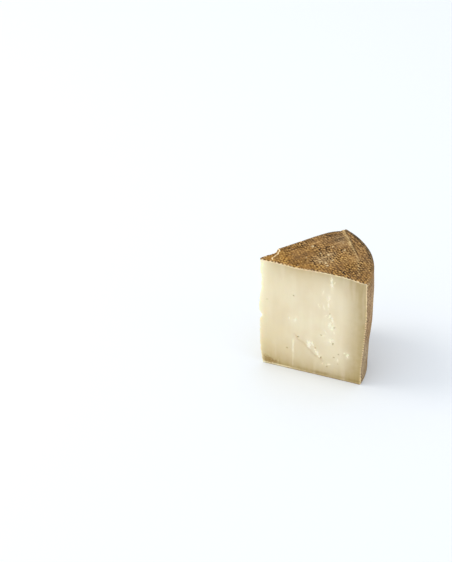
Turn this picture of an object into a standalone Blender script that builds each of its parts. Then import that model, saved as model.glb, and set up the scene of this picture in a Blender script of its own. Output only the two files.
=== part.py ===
"""A wedge of hard sheep's cheese, cut from a small drum-shaped wheel with a cloth-marked rind.

It is one solid. The wheel's axis is the Z axis while the shape is worked out, in millimetres; the
wedge stands on the wheel's foot with its point towards -X, its rind towards +X, and one cut face
towards -Y and the other towards +Y. At the end it is moved so that the origin is at the centre of
its bounding box's floor. Its points are a lattice: rings from the point out to the rind, steps
across each ring from the front cut to the back cut, and layers from the foot up to the rim.
"""

import math

import bmesh
import bpy
from mathutils import Vector, noise

MM = 0.001

# The wheel: a drum that spreads from its foot to its belly and draws in a little under the rim
BELLY_RADIUS = 94.0
FOOT_RADIUS = 90.7
RIM_RADIUS = 93.4
FOOT_HEIGHT = 8.0
BELLY_HEIGHT = 68.0
CROWN_HEIGHT = 103.2
FOOT_ROUND = 1.8
RIM_ROUND = 1.7

# The cuts: the front one goes through the wheel's axis, and they meet a little past it
WEDGE_ANGLE = 60.0
OVERRUN = 3.6

# The top: higher along the back cut, and falling away to the rim
BACK_RISE = 4.6
BACK_RISE_REACH = 88.0
RIM_DROP_START = 72.0
RIM_DROP_FRONT = 2.0
RIM_DROP_BACK = 2.9
FRONT_DIP = 0.7
FRONT_DIP_AT = 34.0
FRONT_DIP_REACH = 15.0

# The torn rind at the point: a lower patch that ends at a ragged step
TEAR_FRONT_REACH = 8.5
TEAR_BACK_REACH = 18.6
TEAR_DEPTH = 3.2
TEAR_RUN = 1.6

# The fold that the cloth pressed into the top, a straight ridge from (x, y) to (x, y)
FOLD_START = (74.3, 46.0)
FOLD_END = (79.4, -8.0)
FOLD_RISE = 0.8
FOLD_HALF_WIDTH = 1.7

# The slow unevenness of the rind
SWELL = 0.4
SWELL_LENGTH = 19.0

# The worn upright edge at the point, as depths and heights
FOOT_WEAR = 3.6
FOOT_WEAR_HEIGHT = 13.0
EDGE_BULGE = 0.7
EDGE_BULGE_AT = 58.0
EDGE_HOLLOW = 1.1
EDGE_HOLLOW_FROM = 67.0
EDGE_HOLLOW_TO = 89.5
NOTCH_DEPTH = 2.6
NOTCH_AT = 48.3
NOTCH_HALF_HEIGHT = 2.4
WEAR_REACH = 5.0
NOTCH_REACH = 3.6

# The crease that the knife left across the front cut: (along the cut, height) of its two ends
CREASE_START = (33.0, 35.0)
CREASE_END = (54.5, 17.0)
CREASE_STEP = 0.55
CREASE_SOFTNESS = 2.6
CREASE_REACH = 16.0

# The lattice
RINGS = 42
WALL_LAYERS = 37
FOOT_LAYERS = 2
RIM_LAYERS = 3

HALF_ANGLE = math.radians(WEDGE_ANGLE / 2)
POINT = Vector((-OVERRUN * math.cos(HALF_ANGLE), OVERRUN * math.sin(HALF_ANGLE)))
BACK_OFFSET = OVERRUN * math.sin(2 * HALF_ANGLE)
LAYERS = FOOT_LAYERS + WALL_LAYERS + RIM_LAYERS


def smooth(value):
    """0 below 0, 1 above 1 and a smooth rise between them."""
    value = min(max(value, 0.0), 1.0)
    return value * value * (3 - 2 * value)


def hump(distance, width):
    """1 at no distance, falling to almost 0 at twice the width."""
    return math.exp(-((distance / width) ** 2))


def swell(x, y, z):
    """The rind's slow unevenness at a point, in millimetres."""
    return SWELL * noise.noise(Vector((x, y, z)) / SWELL_LENGTH)


def wall_radius(height):
    """The rind's distance from the wheel's axis at a height, before the rounds."""
    spread = smooth((height - FOOT_HEIGHT) / (BELLY_HEIGHT - FOOT_HEIGHT))
    draw_in = smooth((height - BELLY_HEIGHT) / (CROWN_HEIGHT - BELLY_HEIGHT))
    radius = FOOT_RADIUS + (BELLY_RADIUS - FOOT_RADIUS) * spread
    return radius - (BELLY_RADIUS - RIM_RADIUS) * draw_in


def rind_azimuth(share, radius):
    """The angle on the wheel at a share of the way from the front cut to the back cut."""
    back = HALF_ANGLE + math.asin(BACK_OFFSET / radius)
    return -HALF_ANGLE + share * (HALF_ANGLE + back)


def share_across(angle):
    """The share of the way from the front cut to the back cut, of a direction from the point."""
    return min(max((angle + HALF_ANGLE) / (2 * HALF_ANGLE), 0.0), 1.0)


def tear_drop(reach, across):
    """How far the torn patch lies below the rest of the top."""
    edge = TEAR_FRONT_REACH + (TEAR_BACK_REACH - TEAR_FRONT_REACH) * across ** 1.6
    edge += 0.9 * math.sin(9 * across + 1)
    inside = smooth((edge - reach) / TEAR_RUN + 0.5)
    return TEAR_DEPTH * smooth(across / 0.9) * inside


def fold_rise(x, y):
    """The height of the cloth's fold over the top around it."""
    start = Vector(FOLD_START)
    run = Vector(FOLD_END) - start
    spot = Vector((x, y)) - start
    along = spot.dot(run) / run.length
    off = abs(spot.x * run.y - spot.y * run.x) / run.length
    fade = 1 - smooth((along - run.length + 12) / 18)
    return FOLD_RISE * hump(off, FOLD_HALF_WIDTH) * fade


def top_height(x, y):
    """The height of the wedge's top over a place in its plan."""
    reach = math.hypot(x - POINT.x, y - POINT.y)
    angle = math.atan2(y - POINT.y, x - POINT.x) if reach > 0.01 else -HALF_ANGLE
    across = share_across(angle)
    rise = BACK_RISE * across * max(0.0, 1 - reach / BACK_RISE_REACH)
    rim_reach = BELLY_RADIUS + OVERRUN * (1 - across)
    drop = RIM_DROP_FRONT + (RIM_DROP_BACK - RIM_DROP_FRONT) * across
    drop *= smooth((reach - RIM_DROP_START) / (rim_reach - RIM_DROP_START)) ** 1.2
    dip = FRONT_DIP * (1 - across) * hump(reach - FRONT_DIP_AT, FRONT_DIP_REACH)
    height = CROWN_HEIGHT + rise - drop - dip - tear_drop(reach, across)
    return height + fold_rise(x, y) + swell(x, y, CROWN_HEIGHT)


def rind_point(share, layer):
    """A point of the rind's side: its plan place and its height."""
    corner = rind_azimuth(share, RIM_RADIUS)
    edge = RIM_RADIUS - RIM_ROUND
    rim_height = top_height(edge * math.cos(corner), edge * math.sin(corner))
    if layer <= FOOT_LAYERS:
        turn = math.radians(90 * layer / FOOT_LAYERS)
        height = FOOT_ROUND * (1 - math.cos(turn))
        inset = FOOT_ROUND * (1 - math.sin(turn))
    elif layer < FOOT_LAYERS + WALL_LAYERS:
        climb = (layer - FOOT_LAYERS) / WALL_LAYERS
        height = FOOT_ROUND + climb * (rim_height - RIM_ROUND - FOOT_ROUND)
        inset = 0.0
    else:
        turn = math.radians(90 * (layer - FOOT_LAYERS - WALL_LAYERS) / RIM_LAYERS)
        height = rim_height - RIM_ROUND * (1 - math.sin(turn))
        inset = RIM_ROUND * (1 - math.cos(turn))
    radius = wall_radius(height) - inset
    azimuth = rind_azimuth(share, radius)
    out = Vector((math.cos(azimuth), math.sin(azimuth)))
    fade = smooth(height / 12) * smooth((rim_height - height) / 6)
    radius += fade * swell(out.x * radius, out.y * radius, height)
    azimuth = rind_azimuth(share, radius)
    return Vector((radius * math.cos(azimuth), radius * math.sin(azimuth))), height


def edge_wear(height, distance):
    """How far the upright edge at the point is worn back, at a distance from it."""
    wear = FOOT_WEAR * math.exp(-height / FOOT_WEAR_HEIGHT)
    wear -= EDGE_BULGE * hump(height - EDGE_BULGE_AT, 8)
    hollow = smooth((height - EDGE_HOLLOW_FROM) / 8) * (1 - smooth((height - EDGE_HOLLOW_TO) / 2 + 1))
    wear += EDGE_HOLLOW * hollow
    notch = NOTCH_DEPTH * hump(height - NOTCH_AT, NOTCH_HALF_HEIGHT)
    return wear * hump(distance, WEAR_REACH) + notch * hump(distance, NOTCH_REACH)


def crease_depth(along, height):
    """How deep the front cut lies below its plane, beside and under the crease."""
    start = Vector(CREASE_START)
    run = Vector(CREASE_END) - start
    spot = Vector((along, height)) - start
    share = spot.dot(run) / run.length_squared
    below = (spot.x * run.y - spot.y * run.x) / run.length
    ends = smooth(share * 3 + 1) * smooth((1 - share) * 3 + 1)
    side = smooth(below / CREASE_SOFTNESS + 0.5) * hump(max(below, 0), CREASE_REACH)
    return CREASE_STEP * ends * side


def lattice_point(ring, step, layer):
    """A point of the wedge's surface, in millimetres from the wheel's axis and foot."""
    share = step / ring if ring else 0.0
    out = ring / RINGS
    rind, rind_height = rind_point(share, layer)
    top_rind, top_rind_height = rind_point(share, LAYERS)
    place = POINT + out * (rind - POINT)
    top_place = POINT + out * (top_rind - POINT)
    if ring == RINGS:
        height = rind_height
    else:
        height = rind_height / top_rind_height * top_height(top_place.x, top_place.y)
    distance = (place - POINT).length
    front = Vector((math.cos(HALF_ANGLE), -math.sin(HALF_ANGLE)))
    place = place + front * edge_wear(height, distance)
    if step == 0 and 0 < ring < RINGS and 0 < layer < LAYERS:
        outward = Vector((-front.y, front.x)) * -1
        place = place - outward * crease_depth(distance, height)
    return Vector((place.x, place.y, height))


def on_surface(ring, step, layer):
    """Whether a lattice point lies on the wedge's surface."""
    return layer in (0, LAYERS) or step in (0, ring) or ring == RINGS


def make_points(bm):
    """Adds every surface point of the lattice, and returns them by ring, step and layer."""
    points = {}
    for ring in range(RINGS + 1):
        for step in range(ring + 1):
            for layer in range(LAYERS + 1):
                if on_surface(ring, step, layer):
                    points[ring, step, layer] = bm.verts.new(lattice_point(ring, step, layer) * MM)
    return points


def make_rind(bm, points):
    """Closes the top, the foot and the rind's side."""
    for ring in range(RINGS):
        for step in range(ring + 1):
            for layer, turn in ((LAYERS, 1), (0, -1)):
                inner = points[ring, step, layer]
                near = points[ring + 1, step, layer]
                far = points[ring + 1, step + 1, layer]
                bm.faces.new((inner, near, far)[::turn])
                if step < ring:
                    bm.faces.new((inner, far, points[ring, step + 1, layer])[::turn])
    for step in range(RINGS):
        for layer in range(LAYERS):
            square = ((step, layer), (step + 1, layer), (step + 1, layer + 1), (step, layer + 1))
            bm.faces.new([points[RINGS, s, k] for s, k in square])


def make_cuts(bm, points):
    """Closes the two cut faces, whose material is the second one."""
    for ring in range(RINGS):
        for layer in range(LAYERS):
            square = ((ring, layer), (ring + 1, layer), (ring + 1, layer + 1), (ring, layer + 1))
            front = bm.faces.new([points[r, 0, k] for r, k in square])
            back = bm.faces.new([points[r, r, k] for r, k in reversed(square)])
            front.material_index = 1
            back.material_index = 1


def make_material(name, colour, roughness):
    """A plain Principled material."""
    material = bpy.data.materials.new(name)
    material.use_nodes = True
    shader = material.node_tree.nodes["Principled BSDF"]
    shader.inputs["Base Color"].default_value = (*colour, 1.0)
    shader.inputs["Roughness"].default_value = roughness
    shader.inputs["Metallic"].default_value = 0.0
    return material


def stand_on_origin(bm):
    """Moves the wedge so that the origin is under the middle of its bounding box."""
    xs = [vertex.co.x for vertex in bm.verts]
    ys = [vertex.co.y for vertex in bm.verts]
    middle = Vector(((min(xs) + max(xs)) / 2, (min(ys) + max(ys)) / 2, 0))
    bmesh.ops.translate(bm, verts=bm.verts, vec=-middle)


def make_wedge():
    """The wedge, as one closed object."""
    bm = bmesh.new()
    points = make_points(bm)
    make_rind(bm, points)
    make_cuts(bm, points)
    bmesh.ops.triangulate(bm, faces=bm.faces)
    stand_on_origin(bm)
    mesh = bpy.data.meshes.new("cheese_wedge")
    bm.to_mesh(mesh)
    bm.free()
    mesh.shade_smooth()
    mesh.set_sharp_from_angle(angle=math.radians(40))
    mesh.materials.append(make_material("rind", (0.30, 0.165, 0.055), 0.75))
    mesh.materials.append(make_material("paste", (0.80, 0.70, 0.46), 0.5))
    wedge = bpy.data.objects.new("cheese_wedge", mesh)
    bpy.context.scene.collection.objects.link(wedge)


for old in list(bpy.data.objects):
    bpy.data.objects.remove(old, do_unlink=True)
make_wedge()
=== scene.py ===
"""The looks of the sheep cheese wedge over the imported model: relief, materials, floor, light, camera.

The wedge is worked out in millimetres from the wheel's axis and foot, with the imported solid's sizes
but for the fold's start, and is then moved into the row's frame. The rind's side is a grid, the top
is rings round the point, and the cuts and the foot are filled with shaken places.
"""

import math
import random

import bmesh
import bpy
import numpy as np
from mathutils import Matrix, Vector, noise
from mathutils.geometry import delaunay_2d_cdt


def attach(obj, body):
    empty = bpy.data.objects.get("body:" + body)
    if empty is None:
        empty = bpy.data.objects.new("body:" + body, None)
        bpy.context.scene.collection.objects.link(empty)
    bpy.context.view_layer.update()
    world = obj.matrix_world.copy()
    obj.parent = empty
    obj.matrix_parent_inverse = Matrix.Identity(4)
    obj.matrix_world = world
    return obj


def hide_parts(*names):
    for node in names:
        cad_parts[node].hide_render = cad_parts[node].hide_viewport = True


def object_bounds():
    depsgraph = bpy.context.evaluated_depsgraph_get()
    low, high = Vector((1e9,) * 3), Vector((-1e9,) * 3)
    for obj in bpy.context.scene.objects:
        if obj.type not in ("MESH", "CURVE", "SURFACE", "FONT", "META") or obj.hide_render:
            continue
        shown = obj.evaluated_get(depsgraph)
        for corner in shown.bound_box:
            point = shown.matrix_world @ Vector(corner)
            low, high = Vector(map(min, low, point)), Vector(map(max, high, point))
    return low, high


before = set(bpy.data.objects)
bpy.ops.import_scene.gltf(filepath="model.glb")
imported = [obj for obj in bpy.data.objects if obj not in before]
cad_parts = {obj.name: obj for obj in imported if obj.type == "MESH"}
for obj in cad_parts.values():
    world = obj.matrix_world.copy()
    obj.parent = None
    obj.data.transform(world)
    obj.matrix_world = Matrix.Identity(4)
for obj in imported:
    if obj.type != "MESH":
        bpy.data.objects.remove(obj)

CAD_LOW, CAD_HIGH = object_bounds()
MM = 0.001

# ---- sizes in millimetres

BELLY_RADIUS = 94
FOOT_RADIUS = 90.7
RIM_RADIUS = 93.4
FOOT_HEIGHT = 8
BELLY_HEIGHT = 68
CROWN_HEIGHT = 103.2
FOOT_ROUND = 1.8
RIM_ROUND = 1.7
OVERRUN = 3.6
BACK_RISE = 4.6
BACK_RISE_REACH = 88
RIM_DROP_START = 72
RIM_DROP_FRONT = 2
RIM_DROP_BACK = 2.9
FRONT_DIP = 0.7
FRONT_DIP_AT = 34
FRONT_DIP_REACH = 15
TEAR_FRONT_REACH = 8.5
TEAR_BACK_REACH = 18.6
TEAR_DEPTH = 3.2
FOLD_START = (75.4, 45.9)
FOLD_END = (79.4, -8)
FOLD_RISE = 0.8
SWELL = 0.4
SWELL_LENGTH = 19
FOOT_WEAR = 3.6
FOOT_WEAR_HEIGHT = 13
EDGE_BULGE = 0.7
EDGE_BULGE_AT = 58
EDGE_HOLLOW = 1.1
EDGE_HOLLOW_FROM = 67
EDGE_HOLLOW_TO = 89.5
NOTCH_DEPTH = 2.6
NOTCH_AT = 48.3
NOTCH_HALF_HEIGHT = 2.4
WEAR_REACH = 5
NOTCH_REACH = 3.6
CREASE_START = (33, 35)
CREASE_END = (54.5, 17)
CREASE_STEP = 0.55
CREASE_REACH = 16

HALF_ANGLE = math.radians(30)
SINE, COSINE = math.sin(HALF_ANGLE), math.cos(HALF_ANGLE)
POINT_X = -OVERRUN * COSINE
POINT_Y = OVERRUN * SINE
BACK_OFFSET = OVERRUN * math.sin(2 * HALF_ANGLE)
FRONT_ALONG = (COSINE, -SINE)
BACK_ALONG = (COSINE, SINE)
FRONT_OUT = (-SINE, -COSINE, 0)
BACK_OUT = (-SINE, COSINE, 0)

# ---- the fine surface

COLUMNS = 208
FOOT_LAYERS = 4
WALL_LAYERS = 202
RIM_LAYERS = 6
LAYERS = FOOT_LAYERS + WALL_LAYERS + RIM_LAYERS
POINT_EDGE_STEP = 0.6
FOOT_EDGE_STEP = 0.7
CUT_GRID = 2.4
FOOT_GRID = 1.3
GRID_SHAKE = 0.16
SHARP_ANGLE = math.radians(42)

CLOTH_SEED = 5
CLOTH_TILE = 256
PILLOW_POWER = 2.6
TOP_CLOTH_PITCH = 2.45
SIDE_CLOTH_PITCH = 2.1
THREAD_DOT_PITCH = 2.3
CLOTH_RELIEF = 0.42
CLOTH_SHAKE = 0.19
TOP_CLOTH_TURN = math.radians(17)
SIDE_CLOTH_TURN = math.radians(44)
CREASE_RELIEF = 0.22
TORN_ROUGHNESS = 0.35
TEAR_RUN = 1.5
TEAR_RUN_BACK = 4.2
LIP_RISE = 0.15
FOLD_HALF_WIDTH = 1.1
FOLD_GROOVE = 0.5
PLEAT_PITCH = 3.4
PLEAT_RELIEF = 0.35

# Light flecks that the wire tore out of the front cut: along, height, half length, half width, lean
FRONT_TEARS = (
    (65.1, 96.8, 1.8, 0.7, 88), (65.3, 92.6, 2, 0.9, 92), (67.9, 95.2, 1.1, 0.5, 80),
    (57.8, 83.9, 1.5, 0.5, 70), (63.2, 80, 1.4, 0.8, 100), (62.6, 77, 1.1, 0.6, 60),
    (62.7, 71.8, 2.4, 0.6, 95), (54, 70.2, 1.5, 0.5, 120), (58.9, 68.4, 1.8, 0.55, 110),
    (64.2, 61.4, 1.5, 0.8, 60), (66.6, 58.9, 2, 0.9, 105), (64.3, 53.4, 1.6, 0.9, 80),
    (67.1, 50.6, 1.9, 1.2, 70), (60.5, 45.3, 1.1, 0.5, 130), (58.9, 40.8, 1.4, 0.5, 20),
    (66, 37.6, 2.2, 1.1, 30), (45.8, 29, 3, 1.2, 94), (49, 30.3, 1.8, 0.8, 110),
    (27.4, 51.5, 1.1, 0.55, 100), (33, 50.6, 1.5, 0.62, 80), (81, 26.2, 1.5, 1, 95),
    (78.3, 28.2, 0.9, 0.55, 60), (72.6, 19.2, 1.3, 0.55, 90), (64.2, 13.3, 1.6, 0.55, 20),
    (58.4, 12.4, 1.1, 0.5, 60), (53.4, 22.2, 1.6, 0.8, 120), (55.6, 18.8, 1.3, 0.8, 60),
    (51.3, 25.4, 1.2, 0.6, 130), (61, 61.5, 1, 0.5, 40), (68.6, 46, 1, 0.5, 100),
)
# Pinholes in the front cut: along, height, radius, lean
FRONT_EYES = (
    (31.1, 74.2, 0.6, 0), (6.8, 65, 0.5, 0), (64.1, 64, 0.5, 40), (68.6, 51.2, 0.65, 30),
    (56.8, 41, 0.6, 0), (67.7, 34.7, 0.75, 70), (51.8, 26.8, 0.6, 20), (25.9, 20.5, 0.65, 0),
    (57, 18.4, 0.9, 60), (73.1, 25.5, 0.5, 0), (68.9, 21.5, 0.55, 0), (72.7, 15.7, 0.5, 0),
    (62.8, 10.8, 0.6, 10), (35.6, 34.2, 0.8, 30),
)
# Upright lines that the wire left on the front cut: along, lowest, highest, strength, width
FRONT_LINES = (
    (31.6, 0, 33, 1, 0.7), (17.9, 0, 8.5, 0.6, 0.7), (30, 80, 98, 0.22, 0.9),
    (65.4, 70, 99, 0.4, 1.8),
)
# Pale flecks on the top: x, y, radius
TOP_FLECKS = (
    (43.6, 15, 1.3), (55.4, 0.5, 1.1), (52, -16, 1.3), (50.9, -11.9, 1.1), (70.4, 8.2, 1),
    (46.5, -9, 0.9), (57.5, -8, 0.8), (49, 4, 0.8), (61, 14, 0.8), (36, -2, 0.7),
)
# A pale chip on the rind's side by the front cut: x, y, height, radius
CORNER_FLECK = (82.6, -43.4, 99, 1.2)

BACK_MARK_SEED = 11
BACK_TEARS = 26
BACK_EYES = 12
# How deep in the paste the pinholes' walls count
EYE_DEPTH = 30
# The third part of a place on the back cut
BACK_CUT = 200


def smooth(value):
    """0 below 0, 1 above 1 and a smooth rise between them."""
    value = np.clip(value, 0, 1)
    return value * value * (3 - 2 * value)


def rise(value, low, high):
    """0 at low, 1 at high and a smooth way between them."""
    return smooth((value - low) / (high - low))


def hump(distance, width):
    """1 at no distance, falling to almost 0 at twice the width."""
    return np.exp(-((distance / width) ** 2))


def drift(x, y, z, length, shift=0):
    """Smooth noise over a length."""
    places = np.stack(np.broadcast_arrays(x, y, z), -1) / length + shift
    flat = [noise.noise(place) for place in places.reshape(-1, 3).tolist()]
    return np.array(flat).reshape(places.shape[:-1])


def wall_radius(height):
    """The rind's distance from the wheel's axis at a height."""
    spread = smooth((height - FOOT_HEIGHT) / (BELLY_HEIGHT - FOOT_HEIGHT))
    draw_in = smooth((height - BELLY_HEIGHT) / (CROWN_HEIGHT - BELLY_HEIGHT))
    radius = FOOT_RADIUS + (BELLY_RADIUS - FOOT_RADIUS) * spread
    return radius - (BELLY_RADIUS - RIM_RADIUS) * draw_in


def rind_azimuth(share, radius):
    """The angle on the wheel at a share of the way between the cuts."""
    back = HALF_ANGLE + np.arcsin(BACK_OFFSET / radius)
    return -HALF_ANGLE + share * (HALF_ANGLE + back)


def from_point(x, y):
    """A place's distance from the point, and its share of the way to the back cut."""
    reach = np.hypot(x - POINT_X, y - POINT_Y)
    angle = np.arctan2(y - POINT_Y, x - POINT_X)
    across = np.clip((angle + HALF_ANGLE) / (2 * HALF_ANGLE), 0, 1)
    return reach, np.where(reach < 0.01, 0, across)


def tear_inside(reach, across):
    """How far inside the edge of the torn patch a place on the top is."""
    edge = TEAR_FRONT_REACH + (TEAR_BACK_REACH - TEAR_FRONT_REACH) * across ** 1.6
    edge += 0.8 * np.sin(9 * across + 1) + 0.25 * np.sin(31 * across) + 0.08 * np.sin(77 * across + 2)
    return edge - reach + 0.4 * np.sin(1.1 * reach + 14 * across)


def tear_share(reach, across):
    """0 on the whole rind to 1 on the torn patch, and the way down its step."""
    run = TEAR_RUN + (TEAR_RUN_BACK - TEAR_RUN) * across ** 3
    down = tear_inside(reach, across) / run + 0.5
    return smooth(down), down * run


def lip_distance(x, y):
    """How far past the torn step's top edge a place is."""
    step = 0.05
    moves = ((0, 0), (step, 0), (0, step))
    here, right, up = (tear_share(*from_point(x + dx, y + dy))[1] for dx, dy in moves)
    steep = np.hypot(right - here, up - here) / step
    return here / np.maximum(steep, 0.6)


def from_line(x, y, start, end):
    """How far along a line a place is, how far left of it, and the line's length."""
    run_x, run_y = end[0] - start[0], end[1] - start[1]
    length = math.hypot(run_x, run_y)
    along = ((x - start[0]) * run_x + (y - start[1]) * run_y) / length
    return along, ((y - start[1]) * run_x - (x - start[0]) * run_y) / length, length


def fold_marks(x, y):
    """The distance from the cloth's fold, its strength, and the way past its end."""
    along, off, length = from_line(x, y, FOLD_START, FOLD_END)
    return off, 1 - smooth((along - length + 12) / 18), along - length


def top_height(x, y):
    """The height of the wedge's top over a plan place, without the cloth's marks."""
    reach, across = from_point(x, y)
    rise = BACK_RISE * across * np.maximum(0, 1 - reach / BACK_RISE_REACH)
    rim_reach = BELLY_RADIUS + OVERRUN * (1 - across)
    drop = RIM_DROP_FRONT + (RIM_DROP_BACK - RIM_DROP_FRONT) * across
    drop = drop * smooth((reach - RIM_DROP_START) / (rim_reach - RIM_DROP_START)) ** 1.2
    dip = FRONT_DIP * (1 - across) * hump(reach - FRONT_DIP_AT, FRONT_DIP_REACH)
    torn = TEAR_DEPTH * smooth(across / 0.9) * tear_share(reach, across)[0]
    off, strength, _ = fold_marks(x, y)
    off = off + 0.5 * drift(x, y, CROWN_HEIGHT, 5, 8.8)
    strength = strength * np.maximum(0.7 + 1 * drift(x, y, CROWN_HEIGHT, 7, 3.3), 0.2)
    fold = strength * (FOLD_RISE * hump(off, FOLD_HALF_WIDTH) - FOLD_GROOVE * hump(off - 2.1, 0.9))
    swell = SWELL * drift(x, y, CROWN_HEIGHT, SWELL_LENGTH)
    return CROWN_HEIGHT + rise - drop - dip - torn + fold + swell


def rind_point(share, layer):
    """Points of the rind's side at shares and layers."""
    corner = rind_azimuth(share, RIM_RADIUS)
    edge = RIM_RADIUS - RIM_ROUND
    rim_height = top_height(edge * np.cos(corner), edge * np.sin(corner))
    foot_turn = np.radians(90) * np.clip(layer / FOOT_LAYERS, 0, 1)
    rim_turn = np.radians(90) * np.clip((layer - FOOT_LAYERS - WALL_LAYERS) / RIM_LAYERS, 0, 1)
    climb = np.clip((layer - FOOT_LAYERS) / WALL_LAYERS, 0, 1)
    height = FOOT_ROUND * (1 - np.cos(foot_turn))
    height = height + climb * (rim_height - RIM_ROUND - FOOT_ROUND) + RIM_ROUND * np.sin(rim_turn)
    inset = FOOT_ROUND * (1 - np.sin(foot_turn)) + RIM_ROUND * (1 - np.cos(rim_turn))
    radius = wall_radius(height) - inset
    azimuth = rind_azimuth(share, radius)
    fade = smooth(height / 12) * smooth((rim_height - height) / 6)
    swell = SWELL * drift(np.cos(azimuth) * radius, np.sin(azimuth) * radius, height, SWELL_LENGTH)
    radius = radius + fade * swell
    azimuth = rind_azimuth(share, radius)
    return radius * np.cos(azimuth), radius * np.sin(azimuth), height


def edge_wear(height, distance):
    """How far the point's upright edge is worn back, at a distance from it."""
    wear = FOOT_WEAR * np.exp(-height / FOOT_WEAR_HEIGHT)
    wear -= EDGE_BULGE * hump(height - EDGE_BULGE_AT, 8)
    hollow = smooth((height - EDGE_HOLLOW_FROM) / 8) * (1 - smooth((height - EDGE_HOLLOW_TO) / 1.2 + 1))
    wear += EDGE_HOLLOW * hollow
    notch = NOTCH_DEPTH * hump(height - NOTCH_AT, NOTCH_HALF_HEIGHT)
    ragged = 0.45 * drift(height, 0, 0.5, 3.1) + 0.35 * drift(height, 0, 7.5, 1.3)
    worn = (wear + np.maximum(ragged + 0.25, 0)) * hump(distance, WEAR_REACH)
    return worn + notch * hump(distance, NOTCH_REACH)


# ---- marks on the rind and the cuts


def pebbles(u, v):
    """The pillows that the cloth's holes left: height, and the pillow's own chance."""
    draw = np.random.default_rng(CLOTH_SEED)
    shake = draw.uniform(-CLOTH_SHAKE, CLOTH_SHAKE, (2, CLOTH_TILE, CLOTH_TILE))
    size = draw.uniform(0.50, 0.72, (CLOTH_TILE, CLOTH_TILE))
    chance = draw.uniform(0, 1, (CLOTH_TILE, CLOTH_TILE))
    column, row = np.floor(u).astype(int), np.floor(v).astype(int)
    height, own = np.zeros_like(u), np.full_like(u, 0.5)
    for right in (-1, 0, 1):
        for up in (-1, 0, 1):
            cell = ((column + right) % CLOTH_TILE, (row + up) % CLOTH_TILE)
            du = u - column - right - 0.5 - shake[0][cell]
            dv = v - row - up - 0.5 - shake[1][cell]
            away = np.abs(du) ** PILLOW_POWER + np.abs(dv) ** PILLOW_POWER
            away = away ** (1 / PILLOW_POWER) / size[cell]
            here = 1 - smooth(away)
            own = np.where(here > height, chance[cell], own)
            height = np.maximum(height, here)
    return height, own


def cloth_place(a, b, turn, pitch, x, y, z):
    """Places a, b millimetres across the rind, in threads."""
    a = a + 1.6 * drift(x, y, z, 15, 3.7) + 0.5 * drift(x, y, z, 4.5, 9.1)
    b = b + 1.6 * drift(x, y, z, 15, 31.3) + 0.5 * drift(x, y, z, 4.5, 17.9)
    u = (a * math.cos(turn) + b * math.sin(turn)) / pitch
    v = (b * math.cos(turn) - a * math.sin(turn)) / pitch
    return u, v


def cut_distances(x, y):
    """How far inside the front cut and the back cut a plan place is."""
    front = x * SINE + y * COSINE
    back = (x - POINT_X) * SINE - (y - POINT_Y) * COSINE
    return front, back


def imprint(x, y, z, side):
    """The cloth's mark on the rind: pillow height, own chance and strength."""
    if side:
        across = np.arctan2(y, x) * BELLY_RADIUS
        rounding = np.clip(wall_radius(z) - np.hypot(x, y), 0, 3)
        up = z + rounding * np.where(z > BELLY_HEIGHT, 1, -1)
        u, v = cloth_place(across, up, SIDE_CLOTH_TURN, SIDE_CLOTH_PITCH, x, y, z)
    else:
        u, v = cloth_place(x, y, TOP_CLOTH_TURN, TOP_CLOTH_PITCH, x, y, z)
    height, chance = pebbles(u + 40, v + 90)
    reach, front = from_point(x, y)[0], cut_distances(x, y)[0]
    lean = 0 if side else 0.65 * smooth((reach - 25) / 40) - 0.1 - front / 60
    patchy = 1 if side else 1 - 0.65 * smooth((reach - 40) / 30) * smooth(1.4 - front / 22)
    wear = 1.2 * drift(x, y, z, 17, 5.5) + 0.7 * drift(x, y, z, 6, 8.5)
    wear = smooth(0.5 + lean + patchy * wear)
    strength = (0.40 + 0.35 * wear) if side else (0.45 + 0.55 * wear)
    return height, chance, strength


def crease_lines(x, y, z):
    """Thin wandering creases in the rind's side, up to 1 at their middles."""
    line = drift(x, y, z * 1.7, 21, 40.2) + 0.22 * drift(x, y, z, 6, 2.9)
    return hump(line, 0.03) * smooth(2.4 * drift(x, y, z, 30, 77.1) + 0.2)


def line_distance(along, height, tear):
    """The distance from a leaning fleck, in its own sizes."""
    at, up, half_length, half_width, lean = tear
    turn = math.radians(lean)
    p = (along - at) * math.cos(turn) + (height - up) * math.sin(turn)
    q = (height - up) * math.cos(turn) - (along - at) * math.sin(turn)
    return np.hypot(p / half_length, q / half_width)


def nearest_tear(along, height, tears):
    """The distance from the nearest fleck."""
    return np.min([line_distance(along, height, tear) for tear in tears], 0)


def back_marks():
    """Tears and pinholes for the hidden cut, drawn by chance round two weak lines."""
    draw = random.Random(BACK_MARK_SEED)

    def drawn(*ranges):
        return [draw.uniform(*ends) for ends in ranges]

    tears = []
    for number in range(BACK_TEARS):
        along = min(max(draw.gauss(38 if number % 3 else 66, 7), 12), 86)
        tears.append((along, *drawn((10, 92), (0.9, 2.3), (0.5, 1), (50, 130))))
    eyes = [drawn((10, 84), (8, 94), (0.45, 0.8), (0, 80)) for _ in range(BACK_EYES)]
    return tears, eyes


# The front cut and the back cut: the way out from the point, the way out of the face, tears, pinholes
CUTS = ((FRONT_ALONG, FRONT_OUT, FRONT_TEARS, FRONT_EYES), (BACK_ALONG, BACK_OUT, *back_marks()))


def tear_mask(along, height, tears, shift):
    """Up to 1 inside torn flecks, falling to 0 round them."""
    rough = 1.1 * drift(along, height, shift, 1.5) + 1 * drift(along, height, shift, 0.7)
    mask = np.zeros_like(along)
    for tear in tears:
        most = min(0.14 + 1.3 * tear[3] ** 1.5, 1)
        mask = np.maximum(mask, most * smooth(1.85 - 1.1 * line_distance(along, height, tear) + rough))
    return mask


def halo_mask(along, height, tears, shift):
    """A soft pale haze round the torn flecks."""
    haze = hump(nearest_tear(along, height, tears), 2.3)
    return np.clip(haze * (0.9 + 1.1 * drift(along, height, shift + 20, 3)), 0, 1)


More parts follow.
